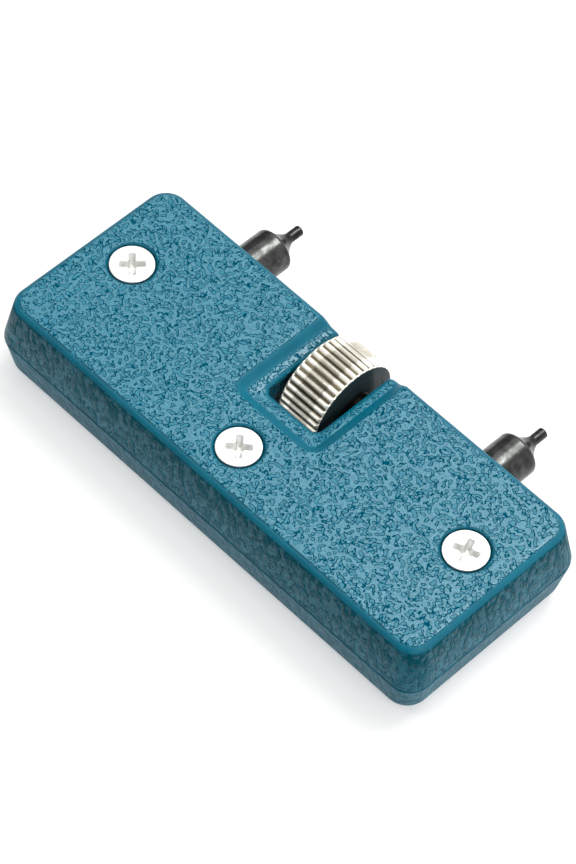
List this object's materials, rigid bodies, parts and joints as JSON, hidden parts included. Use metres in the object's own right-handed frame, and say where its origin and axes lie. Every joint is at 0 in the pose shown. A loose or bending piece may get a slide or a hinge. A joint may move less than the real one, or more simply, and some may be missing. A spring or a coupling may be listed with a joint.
{
  "type": "watch case-back opener",
  "caption": "Pocket-size rectangular watch case-back opener: a ridged thumb wheel turns an opposed lead screw that moves round steel pin jaws together or apart along one long edge.",
  "frame": {"origin": "centre of the flat back face", "axes": "+X along the body's length, +Y towards the long edge where the wheel and jaws stand out, +Z out of the front face"},
  "size_m": [0.0684, 0.0365, 0.0136],
  "materials": {
    "shell": "moulded pebble grain, satin",
    "zinc_steel": "white zinc plated",
    "nickel": "bright nickel plated",
    "steel": "turned, lightly oiled",
    "brass": "turned",
    "black_steel": "blackened, oiled"
  },
  "bodies": {
    "body": {"front_shell": "shell", "back_shell": "shell", "left_screw": "zinc_steel", "middle_screw": "zinc_steel", "right_screw": "zinc_steel", "left_insert": "brass", "middle_insert": "brass", "right_insert": "brass", "left_end_bush": "brass", "right_end_bush": "brass", "left_thrust_washer": "steel", "right_thrust_washer": "steel"},
    "wheel": {"thumb_wheel": "nickel", "lead_screw": "steel"},
    "left_jaw": {"left_jaw": "black_steel", "left_tip": "black_steel"},
    "right_jaw": {"right_jaw": "black_steel", "right_tip": "black_steel"}
  },
  "joints": [
    {"name": "wheel_turn", "type": "hinge", "parent": "body", "child": "wheel", "pos_m": [-0.0004, 0.0087, 0.0072], "axis": [1, 0, 0], "range_deg": [-510, 5580]},
    {"name": "left_jaw_slide", "type": "slide", "parent": "body", "child": "left_jaw", "axis": [1, 0, 0], "range_m": [-0.001, 0.01086]},
    {"name": "right_jaw_slide", "type": "slide", "parent": "body", "child": "right_jaw", "axis": [1, 0, 0], "range_m": [-0.01086, 0.001]}
  ],
  "couplings": [
    {"joint": "left_jaw_slide", "follows": "wheel_turn", "m_per_rad": 0.00011141},
    {"joint": "right_jaw_slide", "follows": "wheel_turn", "m_per_rad": -0.00011141}
  ]
}
